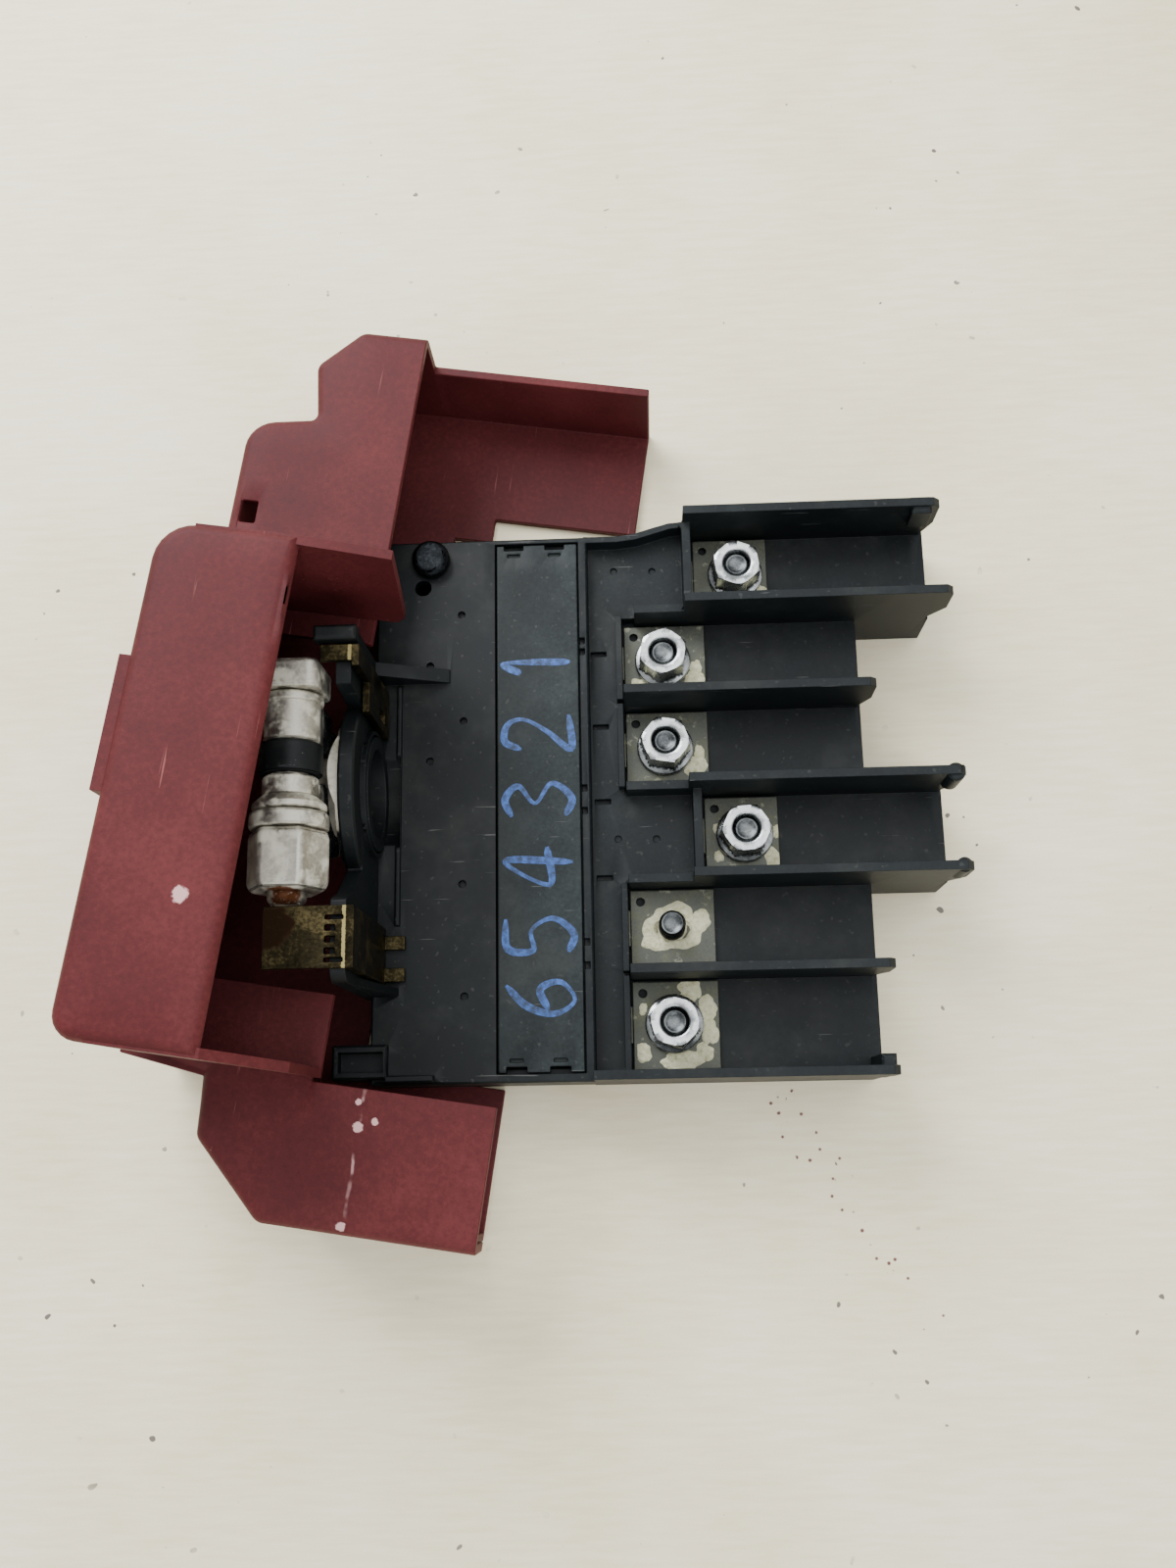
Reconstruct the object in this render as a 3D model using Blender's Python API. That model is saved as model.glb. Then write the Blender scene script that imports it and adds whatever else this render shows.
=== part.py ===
"""Battery-terminal fuse box, lying on its back with its two red covers open.

X runs from the battery clamp to the cable ends, Y along the row of studs, Z away from the table.
The lengths below are millimetres. MM turns the finished meshes into metres.
"""
import math

import bmesh
import bpy
import numpy as np

MM = 0.001

# Base: raised deck on the left, cable channels on the right
BASE_LEFT = -66.0
BASE_LOW = -62.4
BASE_HIGH = 62.4
DECK_TOP = 22.0
DECK_UNDER = 4.0
DECK_SKIN = 9.6
FLOOR_TOP = 14.0
FLOOR_UNDER = 10.8
SHELF_TOP = 17.5
SKIRT = 2.2
STEP_X = -17.2
SHORT_END = 45.0
LONG_END = 62.0
WALL_TOP = 31.0
WALL_LOW_TOP = 24.0
WALL_T = 2.0
WALL_Y = (64.5, 43.5, 22.5, 2.0, -18.9, -39.3, -61.4)
# start of the tall part, end, start of the low part
WALL_X = ((5.2, 63.4, 5.2), (5.0, 65.0, -6.5), (-9.2, 46.6, -9.2), (4.6, 64.6, -9.2),
          (5.0, 64.8, -9.2), (-9.2, 46.8, -9.2), (-17.4, 46.4, -17.4))

# Trough for the fuse row and the strip that covers it
TROUGH_X = (-38.6, -19.2)
TROUGH_Y = (-60.6, 61.2)
TROUGH_FLOOR = 12.0
LEDGE = 1.2
LEDGE_TOP = 19.5
STRIP_GAP = 0.32
STRIP_Z = (19.85, 21.9)
NOTCH_X = ((-36.5, -32.0), (-27.0, -22.5))

# Terminals: six M6 studs with tin-plated plates and flange nuts
STUD_XY = ((17.4, 54.1), (-0.2, 33.3), (-0.2, 12.4), (17.1, -8.2), (0.1, -28.8), (0.0, -50.1))
STUD_R = 3.0
STUD_TOP = 22.8
STUD_HEAD_R = 5.6
STUD_HEAD_Z = (7.2, 10.45)
HOLE_R = 3.35
PLATE_Z = (14.35, 15.6)
PLATE_X = ((7.6, 24.9), (-9.1, 9.7), (-9.1, 9.7), (8.2, 24.8), (-9.1, 9.7), (-9.1, 9.9))
REAR_WALL_X = ((4.9, 6.9), (-10.9, -9.5), (-10.9, -9.5), (5.5, 7.5), (-10.9, -9.5), (-10.9, -9.5))
REAR_WALL_TOP = (26.0, 21.0, 21.0, 24.0, 21.0, 21.0)
TONGUE_W = 8.0
TONGUE_END = -17.0
NUT_AF = 10.0
NUT_Z = (15.95, 24.0)
FLANGE_R = 7.0
NUT_STUDS = (1, 2, 3, 4, 6)

# Fuse row
BUSBAR = ((-50.4, -56.4, 14.0), (-36.6, 56.6, 16.0))
LINK_X = (-36.2, -17.4)
LINK_W = 9.0
LINK_NECK = 2.2

# Battery end: wall, straps, clamp
END_WALL = ((-68.0, -43.5, 4.6), (-64.8, 31.0, 56.0))
POST_YZ = (0.0, 30.5)
POST_HOLE_R = 13.0
RING_OUT = 13.8
RING_IN = 9.2
RING_X = (-84.0, -72.6)
BOLT_X = -78.2
BOLT_Z = 50.0
BOLT_R = 4.0
BORE_R = 4.35
EAR_R = 5.8
EAR_Y = ((-8.1, -0.7), (6.6, 16.7))
STRAP_T = 1.6
STRAP_TOP = 58.0

# Red covers, drawn square to themselves and then turned onto the base
SKEW = math.radians(-9.0)
SHELL = 2.0
SOFT_EDGE = 2.6
HOOD_TOP = 38.0
LID_Z = (38.6, 80.0)
PIN_X = -114.9
PIN_Z = 39.2
PIN_R = 0.8
KNUCKLE_R = 2.1
HOOD_KNUCKLES = ((-12.0, 4.0), (24.5, 38.5), (57.0, 69.0))
LID_KNUCKLES = ((4.5, 24.0), (39.0, 56.5))

BLACK = ((0.012, 0.012, 0.013), 0.55, 0.0)
RED = ((0.32, 0.035, 0.045), 0.5, 0.0)
ZINC = ((0.75, 0.76, 0.78), 0.22, 1.0)
STEEL = ((0.42, 0.42, 0.43), 0.35, 1.0)
TIN = ((0.45, 0.44, 0.41), 0.5, 1.0)
LEAD = ((0.5, 0.5, 0.5), 0.6, 1.0)
BRASS = ((0.42, 0.36, 0.16), 0.4, 1.0)
COPPER = ((0.55, 0.27, 0.16), 0.4, 1.0)


# ---- small solids -------------------------------------------------------------------------

def solid(verts, faces):
    """A loose mesh object from vertices in millimetres."""
    mesh = bpy.data.meshes.new("solid")
    mesh.from_pydata([tuple(map(float, v)) for v in verts], [], faces)
    obj = bpy.data.objects.new("solid", mesh)
    bpy.context.scene.collection.objects.link(obj)
    bm = bmesh.new()
    bm.from_mesh(mesh)
    bmesh.ops.recalc_face_normals(bm, faces=bm.faces)
    bm.to_mesh(mesh)
    bm.free()
    return obj


def inset(outline, distance):
    """The outline moved inwards by a distance, corner by corner along its mitres."""
    pts = np.array(outline, float)
    x, y = pts.T
    area = 0.5 * np.sum(x * np.roll(y, -1) - np.roll(x, -1) * y)
    ahead = np.roll(pts, -1, 0) - pts
    ahead /= np.linalg.norm(ahead, axis=1)[:, None]
    back = np.roll(ahead, 1, 0)
    turn = 1.0 if area > 0 else -1.0
    n1 = turn * np.stack([-back[:, 1], back[:, 0]], 1)
    n2 = turn * np.stack([-ahead[:, 1], ahead[:, 0]], 1)
    mid = n1 + n2
    mid /= np.sum(mid * n2, axis=1)[:, None]
    return pts + distance * mid


AXES = {"x": (1, 2, 0), "y": (0, 2, 1), "z": (0, 1, 2)}


def prism(outline, low, high, axis="z", top=0.0, bottom=0.0, soft=0.0):
    """An outline swept along one axis, with a chamfer at its ends or a soft radius at its top."""
    rings = []
    if bottom:
        rings += [(inset(outline, bottom), low), (np.array(outline, float), low + bottom)]
    else:
        rings += [(np.array(outline, float), low)]
    if soft:
        for angle in np.radians([0.0, 22.5, 45.0, 67.5, 90.0]):
            rings += [(inset(outline, soft * (1.0 - math.cos(angle))), high - soft + soft * math.sin(angle))]
    elif top:
        rings += [(np.array(outline, float), high - top), (inset(outline, top), high)]
    else:
        rings += [(np.array(outline, float), high)]
    order = AXES[axis]
    verts = []
    for ring, level in rings:
        block = np.zeros((len(ring), 3))
        block[:, order[0]] = ring[:, 0]
        block[:, order[1]] = ring[:, 1]
        block[:, order[2]] = level
        verts += block.tolist()
    n = len(outline)
    faces = [list(range(n)), list(range(n * (len(rings) - 1), n * len(rings)))]
    for r in range(len(rings) - 1):
        for i in range(n):
            j = (i + 1) % n
            faces.append([r * n + i, r * n + j, (r + 1) * n + j, (r + 1) * n + i])
    return solid(verts, faces)


def box(low, high, top=0.0):
    """A block between two corners."""
    outline = [(low[0], low[1]), (high[0], low[1]), (high[0], high[1]), (low[0], high[1])]
    return prism(outline, low[2], high[2], top=top)


def circle(centre, radius, count=40, turn=0.0):
    angles = np.linspace(0, 2 * math.pi, count, endpoint=False) + turn
    return [(centre[0] + radius * math.cos(a), centre[1] + radius * math.sin(a)) for a in angles]


def rod(centre, radius, low, high, axis="z", count=40, top=0.0, bottom=0.0):
    """A round bar along one axis."""
    return prism(circle(centre, radius, count), low, high, axis, top, bottom)


def hexagon(centre, across, turn=0.0):
    return circle(centre, across / math.sqrt(3.0), 6, turn)


def rounded(outline, radii, steps=6):
    """The outline with each listed corner replaced by an arc."""
    pts = [np.array(p, float) for p in outline]
    result = []
    for i, point in enumerate(pts):
        radius = radii[i]
        if not radius:
            result.append(tuple(point))
            continue
        a = pts[i - 1] - point
        b = pts[(i + 1) % len(pts)] - point
        a /= np.linalg.norm(a)
        b /= np.linalg.norm(b)
        half = math.acos(float(np.clip(a @ b, -1, 1))) / 2
        reach = radius / math.tan(half)
        start = point + a * reach
        end = point + b * reach
        centre = point + (a + b) / np.linalg.norm(a + b) * radius / math.sin(half)
        first = math.atan2(*(start - centre)[::-1])
        last = math.atan2(*(end - centre)[::-1])
        swing = (last - first + math.pi) % (2 * math.pi) - math.pi
        for k in range(steps + 1):
            angle = first + swing * k / steps
            result.append((centre[0] + radius * math.cos(angle), centre[1] + radius * math.sin(angle)))
    return result


# ---- joining and cutting ------------------------------------------------------------------

def operate(target, tools, kind):
    """Join the tools to the target, or cut them out of it."""
    for tool in tools:
        step = target.modifiers.new("step", "BOOLEAN")
        step.operation = kind
        step.solver = "EXACT"
        step.object = tool
        graph = bpy.context.evaluated_depsgraph_get()
        graph.update()
        mesh = bpy.data.meshes.new_from_object(target.evaluated_get(graph))
        target.modifiers.clear()
        old = target.data
        target.data = mesh
        bpy.data.meshes.remove(old)
        bpy.data.objects.remove(tool)
    return target


def join(target, *tools):
    return operate(target, tools, "UNION")


def cut(target, *tools):
    return operate(target, tools, "DIFFERENCE")


def material(name, look):
    mat = bpy.data.materials.new(name)
    mat.use_nodes = True
    shader = mat.node_tree.nodes["Principled BSDF"]
    shader.inputs["Base Color"].default_value = (*look[0], 1.0)
    shader.inputs["Roughness"].default_value = look[1]
    shader.inputs["Metallic"].default_value = look[2]
    return mat


def finish(obj, name, look, origin=(0.0, 0.0, 0.0), turned=False):
    """Turn a cover onto the base, go to metres, set the origin, name, material and shading."""
    mesh = obj.data
    count = len(mesh.vertices)
    pts = np.empty(count * 3)
    mesh.vertices.foreach_get("co", pts)
    pts = pts.reshape(-1, 3)
    if turned:
        pts = onto_base(pts)
    pts = (pts - np.array(origin, float)) * MM
    mesh.vertices.foreach_set("co", pts.ravel())
    bm = bmesh.new()
    bm.from_mesh(mesh)
    bmesh.ops.remove_doubles(bm, verts=bm.verts, dist=2e-6)
    bmesh.ops.dissolve_degenerate(bm, edges=bm.edges, dist=2e-6)
    bmesh.ops.recalc_face_normals(bm, faces=bm.faces)
    for edge in bm.edges:
        edge.smooth = len(edge.link_faces) == 2 and edge.calc_face_angle(3.2) < math.radians(32)
    for face in bm.faces:
        face.smooth = True
    bm.to_mesh(mesh)
    bm.free()
    mesh.update()
    obj.name = name
    mesh.name = name
    obj.location = tuple(float(v) * MM for v in origin)
    mesh.materials.clear()
    mesh.materials.append(material(name + "_material", look))
    return obj


def onto_base(pts):
    """Turn cover coordinates by the skew and shift them to the base's frame."""
    pts = np.array(pts, float)
    c, s = math.cos(SKEW), math.sin(SKEW)
    out = pts.copy()
    out[:, 0] = c * pts[:, 0] - s * pts[:, 1]
    out[:, 1] = s * pts[:, 0] + c * pts[:, 1] - 48.5
    return out


# ---- base ---------------------------------------------------------------------------------

def base_outline():
    """Outline of the channel side, floor ends and the curved top corner included."""
    y1, y2, y4, y5 = WALL_Y[0] + 1.0, WALL_Y[1] - 1.0, WALL_Y[3] + 1.0, WALL_Y[4] - 1.0
    return [(STEP_X - 1.0, BASE_LOW), (SHORT_END, BASE_LOW), (SHORT_END, y5), (LONG_END, y5),
            (LONG_END, y4), (SHORT_END, y4), (SHORT_END, y2), (LONG_END, y2), (LONG_END, y1),
            (5.2, y1), (2.0, y1 - 0.3), (-2.0, y1 - 1.4), (-6.0, y1 - 2.6), (-10.0, BASE_HIGH),
            (STEP_X - 1.0, BASE_HIGH)]


def channel(index):
    """Y limits of one cable channel between its two walls."""
    return WALL_Y[index + 1] + WALL_T / 2, WALL_Y[index] - WALL_T / 2


def channel_end(index):
    return LONG_END if index in (0, 3) else SHORT_END


def partition(index):
    """One wall between channels: a tall part with a beak, and a lower run behind it."""
    y = WALL_Y[index]
    start, end, low = WALL_X[index]
    floor_end = LONG_END if end > 50 else SHORT_END
    side = [(start, 12.5), (floor_end - 0.6, 12.5), (floor_end - 0.6, 15.0), (end, 21.0), (end, WALL_TOP - 1.5),
            (end - 1.5, WALL_TOP), (start, WALL_TOP)]
    pieces = [prism(side, y - WALL_T / 2, y + WALL_T / 2, "y")]
    if low < start:
        pieces.append(box((low, y - WALL_T / 2, 12.5), (start + 0.5, y + WALL_T / 2, WALL_LOW_TOP)))
    return pieces


def wall_tips():
    """Hooks and beads at the cable ends of four walls."""
    return [box((57.0, WALL_Y[0] - 2.4, 22.0), (61.6, WALL_Y[0] + 1.6, 30.2), top=0.5),
            rod((62.4, WALL_Y[3] - 0.3), 2.1, 21.5, 30.4, count=20, top=0.5),
            rod((62.8, WALL_Y[4] + 0.2), 1.7, 21.5, 30.2, count=20, top=0.5),
            box((42.6, WALL_Y[6] - 1.0, 13.0), (45.8, WALL_Y[6] + 3.4, 29.6), top=0.5)]


def deck_details():
    """Ridge, gusset and the small channel at the lower left corner."""
    ridge = box((-61.0, -28.0, 21.0), (-59.8, 27.0, 23.0), top=0.3)
    gusset = prism([(-65.4, 20.5), (-49.0, 20.5), (-49.0, 22.6), (-65.4, 30.0)], 27.6, 30.8, "y")
    tongue = box((-74.0, -61.2, 12.0), (-62.0, -53.8, 24.0), top=0.5)
    curb = box((-62.6, -61.9, 20.0), (-52.0, -60.4, 24.0), top=0.3)
    brace = prism([(-66.4, 20.5), (-60.0, 20.5), (-60.0, 22.8), (-64.9, 46.0), (-66.4, 46.0)], -43.3, -41.6, "y")
    return [ridge, gusset, tongue, curb, brace]


def base_housing():
    base = box((BASE_LEFT, BASE_LOW, DECK_UNDER), (STEP_X, BASE_HIGH, DECK_TOP), top=0.4)
    join(base, prism(base_outline(), 0.0, FLOOR_TOP))
    shelf = [(STEP_X - 1.0, BASE_LOW + 0.3), (-9.6, BASE_LOW + 0.3), (-9.6, 2.0), (-9.6, 43.5),
             (5.2, 43.5), (5.2, 65.3), (2.0, 65.0), (-2.0, 63.9), (-6.0, 62.7), (-10.0, BASE_HIGH - 0.3),
             (STEP_X - 1.0, BASE_HIGH - 0.3)]
    join(base, prism(shelf, 12.5, SHELF_TOP))
    join(base, box((-10.0, WALL_Y[4], 12.5), (6.0, WALL_Y[3], SHELF_TOP)))
    for index in range(6):
        low, high = channel(index)
        x0, x1 = REAR_WALL_X[index]
        join(base, box((x0, low - 0.5, 12.5), (x1, high + 0.5, REAR_WALL_TOP[index])))
    for index in range(7):
        join(base, *partition(index))
    rim = [(5.6, 65.45), (1.9, 65.15), (-2.1, 64.05), (-6.1, 62.85), (-10.1, 62.35), (-18.0, 62.35),
           (-18.0, 60.9), (-10.2, 60.9), (-5.8, 61.4), (-1.7, 62.6), (2.2, 63.7), (5.6, 63.95)]
    join(base, prism(rim, 12.5, DECK_TOP))
    join(base, *wall_tips())
    wall = rounded([(-43.5, 4.6), (31.0, 4.6), (31.0, 56.0), (17.6, 56.0), (16.2, 42.0), (-18.5, 40.0),
                    (-25.0, 50.0), (-27.0, 56.0), (-43.5, 56.0)], (0, 0, 3.0, 1.0, 0, 0, 0, 1.0, 4.0))
    join(base, prism(wall, END_WALL[0][0], END_WALL[1][0], "x"))
    join(base, rod(POST_YZ, 20.5, -68.5, -64.9, "x", 72, top=0.5, bottom=0.5))
    join(base, rod(POST_YZ, 13.9, -65.5, -63.7, "x", 56))
    join(base, *deck_details())
    return hollow_base(base)


def hollow_base(base):
    """Cut the undersides, the trough, the slots and the holes."""
    cut(base, rod(POST_YZ, POST_HOLE_R, -80.0, -60.0, "x", 56))
    cut(base, box((BASE_LEFT + SKIRT, BASE_LOW + SKIRT, 0.0), (STEP_X - 2.0, 0.0 - 1.0, DECK_SKIN)))
    cut(base, box((BASE_LEFT + SKIRT, 1.0, 0.0), (STEP_X - 2.0, BASE_HIGH - SKIRT, DECK_SKIN)))
    for index in range(6):
        low, high = channel(index)
        cut(base, box((STEP_X + 1.2, low + 0.2, -1.0), (channel_end(index) - SKIRT, high - 0.2, FLOOR_UNDER)))
        x, y = STUD_XY[index]
        cut(base, rod((x, y), HOLE_R, 5.0, 20.0))
        slot_end = REAR_WALL_X[index][1] + 0.4
        cut(base, box((TROUGH_X[1] - 2.0, y - TONGUE_W / 2 - 0.5, 13.9),
                      (slot_end, y + TONGUE_W / 2 + 0.5, PLATE_Z[1] + 0.35)))
    x0, x1 = TROUGH_X
    y0, y1 = TROUGH_Y
    cut(base, box((x0, y0, LEDGE_TOP), (x1, y1, 30.0)))
    cut(base, box((x0 + LEDGE, y0 + LEDGE, TROUGH_FLOOR), (x1 - LEDGE, y1 - LEDGE, 25.0)))
    (bx0, by0, bz0), (bx1, by1, bz1) = BUSBAR
    cut(base, box((bx0 - 0.4, by0 - 0.4, bz0 - 0.4), (x0 + 3.0, by1 + 0.4, bz1 + 0.4)))
    return small_marks(base)


def small_marks(base):
    """Ejector pits, latch slots and notches in the black moulding."""
    for x, y in ((-46.4, 44.1), (-53.6, 31.9), (-45.9, 18.6), (-53.5, 9.4), (-46.1, -18.9), (-45.6, -43.7)):
        cut(base, rod((x, y), 0.85, 20.9, 30.0, count=14))
    for x, y in ((-15.0, 35.0), (-14.8, 17.5), (-14.7, -0.1), (-14.6, -17.6)):
        cut(base, box((x - 1.8, y - 0.6, 16.0), (x + 1.8, y + 0.6, 30.0)))
    for y in (36.9, 34.3, 2.2, -3.0, -32.4, -37.5):
        cut(base, box((-19.4, y - 0.8, 20.4), (-18.0, y + 0.8, 30.0)))
    for x, y in ((-11.1, 55.4), (-2.1, 55.1), (-11.4, -8.8), (-2.8, -9.0)):
        cut(base, rod((x, y), 0.8, 16.9, 30.0, count=14))
    join(base, box((-6.0, -2.0, 0.0), (6.0, 3.1, 12.0)))
    cut(base, rod((-55.4, 51.0), 1.9, 0.0, 30.0, count=20), rod((-53.4, 57.4), 2.35, 0.0, 30.0, count=20))
    cut(base, box((-72.6, -59.6, 20.5), (-63.0, -55.4, 30.0)))
    return base


def fuse_cover_strip():
    x0, x1 = TROUGH_X[0] + STRIP_GAP, TROUGH_X[1] - STRIP_GAP
    y0, y1 = TROUGH_Y[0] + STRIP_GAP, TROUGH_Y[1] - STRIP_GAP
    strip = box((x0, y0, STRIP_Z[0]), (x1, y1, STRIP_Z[1]), top=0.25)
    for n0, n1 in NOTCH_X:
        cut(strip, box((n0, y1 - 1.3, 15.0), (n1, y1 + 2.0, 30.0)), box((n0, y0 - 2.0, 15.0), (n1, y0 + 1.3, 30.0)))
        for y in (y0 + 2.2, y1 - 3.0):
            cut(strip, box((n0 + 0.8, y, 21.2), (n1 - 0.8, y + 0.8, 30.0)))
    return strip


# ---- terminals ----------------------------------------------------------------------------

def terminal_plate(index):
    """Tin-plated plate round one stud, with the tongue that runs back to the fuse link."""
    low, high = channel(index)
    x, y = STUD_XY[index]
    x0, x1 = PLATE_X[index]
    plate = box((x0, low + 0.45, PLATE_Z[0]), (x1, high - 0.45, PLATE_Z[1]), top=0.15)
    join(plate, box((TONGUE_END, y - TONGUE_W / 2, PLATE_Z[0]), (x0 + 1.0, y + TONGUE_W / 2, PLATE_Z[1] - 0.2)))
    cut(plate, rod((x, y), HOLE_R, 10.0, 20.0), rod((x0 + 2.3, high - 3.0), 0.95, 10.0, 20.0, count=18))
    return plate


def stud(index):
    x, y = STUD_XY[index]
    shaft = rod((x, y), STUD_R, STUD_HEAD_Z[1] - 1.0, STUD_TOP, top=0.8)
    return join(shaft, rod((x, y), STUD_HEAD_R, STUD_HEAD_Z[0], STUD_HEAD_Z[1]))


def flange_nut(index):
    x, y = STUD_XY[index]
    turn = (0.15, 0.9, 0.35, 0.6, 0.0, 0.25)[index]
    nut = prism(hexagon((x, y), NUT_AF, turn), NUT_Z[0] + 0.6, NUT_Z[1], top=0.45)
    join(nut, rod((x, y), FLANGE_R, NUT_Z[0], NUT_Z[0] + 1.7, top=0.9))
    return cut(nut, rod((x, y), HOLE_R, 10.0, 30.0))


def busbar():
    low, high = BUSBAR
    bar = box(low, high)
    for _, y in STUD_XY:
        cut(bar, box((-39.6, y + 6.2, 10.0), (-30.0, y + 8.4, 20.0)))
    return bar


def fuse_link(index):
    """Flat link whose middle narrows to a bent neck, where it melts."""
    y = STUD_XY[index][1]
    x0, x1 = LINK_X
    w, n = LINK_W / 2 - 0.6, LINK_NECK / 2
    a, b = x0 + 5.0, x1 - 5.0
    mid = (a + b) / 2
    outline = [(x0, y - w), (a, y - w), (a + 1.2, y - n + 1.6), (mid, y - n + 1.6), (mid + 1.0, y - n - 1.6),
               (b - 1.2, y - n - 1.6), (b, y - w), (x1, y - w), (x1, y + w), (b, y + w), (b - 0.2, y + n - 1.6),
               (mid + 2.2, y + n - 1.6), (mid + 1.2, y + n + 1.6), (a + 1.2, y + n + 1.6), (a, y + w), (x0, y + w)]
    return prism(outline, PLATE_Z[0], PLATE_Z[1] - 0.1)


# ---- battery end --------------------------------------------------------------------------

def clamp_ring():
    """Split ring for the battery post, with two round ears for the bolt."""
    y, z = POST_YZ
    ring = rod((y, z), RING_OUT, RING_X[0], RING_X[1], "x", 48, top=0.6, bottom=0.6)
    for low, high in EAR_Y:
        join(ring, rod((BOLT_X, BOLT_Z), EAR_R, low, high, "y", 40, top=0.5, bottom=0.5))
        join(ring, box((RING_X[0] + 0.8, low + 0.6, 36.0), (RING_X[1] - 0.4, high - 0.8, BOLT_Z)))
    join(ring, rod((BOLT_X, BOLT_Z), EAR_R + 1.9, EAR_Y[0][0], EAR_Y[0][0] + 3.2, "y", 40, top=1.8, bottom=0.4))
    join(ring, rod((BOLT_X, BOLT_Z), EAR_R + 0.7, EAR_Y[1][1] - 2.0, EAR_Y[1][1], "y", 40, top=0.4, bottom=0.4))
    cut(ring, rod((y, z), RING_IN, -100.0, -60.0, "x", 48))
    cut(ring, box((-100.0, EAR_Y[0][1], 34.0), (-60.0, EAR_Y[1][0], 70.0)))
    return cut(ring, rod((BOLT_X, BOLT_Z), BORE_R, -40.0, 40.0, "y", 32))


def clamp_bolt():
    """Bolt with a broad square head."""
    bolt = rod((BOLT_X, BOLT_Z), BOLT_R, -27.2, 19.0, "y", 32, bottom=0.8)
    h = 7.6
    head = rounded([(BOLT_X - h, BOLT_Z - h), (BOLT_X + h - 0.8, BOLT_Z - h), (BOLT_X + h - 0.8, BOLT_Z + h),
                    (BOLT_X - h, BOLT_Z + h)], (2.5, 2.5, 2.5, 2.5))
    return join(bolt, prism(head, 17.1, 23.3, "y", top=0.8, bottom=0.4))


def clamp_nut():
    nut = prism(hexagon((BOLT_X, BOLT_Z), 15.0, 0.0), -24.8, -12.2, "y", top=0.7, bottom=1.2)
    return cut(nut, rod((BOLT_X, BOLT_Z), BORE_R, -40.0, 0.0, "y", 32))


def bolt_ring(radius, low, high, chamfer=0.4):
    """A washer or spacer on the clamp bolt."""
    ring = rod((BOLT_X, BOLT_Z), radius, low, high, "y", 40, top=chamfer, bottom=chamfer)
    return cut(ring, rod((BOLT_X, BOLT_Z), BORE_R, -60.0, 60.0, "y", 32))


def post_ring(outer, inner, low, high):
    """A flat ring round the battery post."""
    return cut(rod(POST_YZ, outer, low, high, "x", 56), rod(POST_YZ, inner, -90.0, -50.0, "x", 56))


def post_washer():
    """Thin washer round the battery post, with a lens-shaped boss standing proud of its top."""
    washer = post_ring(17.5, 9.8, -69.7, -68.9)
    boss = cut(rod(POST_YZ, 17.5, -71.2, -69.4, "x", 56), box((-72.0, -20.0, 10.0), (-69.0, 20.0, 42.5)))
    operate(boss, [rod((-51.7, 1.8), 19.5, 30.0, 60.0, "z", 160)], "INTERSECT")
    return join(washer, boss)


def brass_strap_lower():
    """Strap bent over the end wall, with a window at the bend and two feet."""
    x0, x1 = -64.4, -64.4 + STRAP_T
    strap = box((-81.0, -41.0, STRAP_TOP - STRAP_T), (x1, -28.6, STRAP_TOP))
    join(strap, box((x0, -41.0, 22.6), (x1, -28.6, STRAP_TOP - 0.4)))
    join(strap, box((x0 + 0.3, -40.4, 22.6), (-58.4, -37.4, 24.0)), box((x0 + 0.3, -33.4, 22.6), (-58.4, -30.4, 24.0)))
    join(strap, box((-81.0, -40.2, 50.5), (-79.6, -29.4, STRAP_TOP - 0.5)))
    cut(strap, box((-68.6, -39.8, 50.0), (-64.9, -38.9, 60.0)), box((-68.6, -31.4, 50.0), (-64.9, -30.5, 60.0)))
    for y in (-37.6, -35.3, -33.0):
        cut(strap, box((-68.6, y - 0.6, 50.0), (-66.6, y + 0.6, 60.0)))
    return strap


def brass_strap_upper():
    """Short strap at the other side of the post."""
    strap = box((-64.4, 14.4, 22.6), (-62.8, 25.4, STRAP_TOP))
    join(strap, box((-71.0, 22.0, STRAP_TOP - STRAP_T), (-63.6, 25.4, STRAP_TOP)))
    cut(strap, box((-70.0, 13.0, 46.0), (-60.0, 20.8, 60.0)), box((-70.0, 16.6, 28.0), (-60.0, 18.8, 34.0)))
    return strap


def strap_cap():
    """Black end cap above the short strap."""
    return box((-72.2, 25.9, 56.4), (-63.2, 29.2, 60.0), top=0.6)


def corner_rivet():
    """Rivet in the upper left corner of the deck."""
    rivet = rod((-53.4, 57.4), 4.4, DECK_TOP + 0.35, 25.4, count=32, top=0.9)
    return join(rivet, rod((-53.4, 57.4), 1.95, 8.0, 24.0, count=20))


# ---- red covers ---------------------------------------------------------------------------

HOOD_OUTLINE = [(-24.5, 145.1), (-91.4, 145.1), (-100.8, 135.4), (-98.3, 122.0), (-113.8, 119.5), (-113.8, -22.0),
                (-95.0, -26.0), (-94.1, -39.1), (-78.6, -54.0), (-27.0, -54.0), (-27.0, -20.6), (-69.0, -20.6),
                (-69.0, 110.9), (-59.6, 110.9), (-59.6, 117.0), (-24.5, 117.0)]
HOOD_RADII = (0, 3.2, 3.2, 1.5, 7, 0, 0, 3.2, 3.2, 0, 0, 0, 0, 0, 0, 0)


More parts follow.
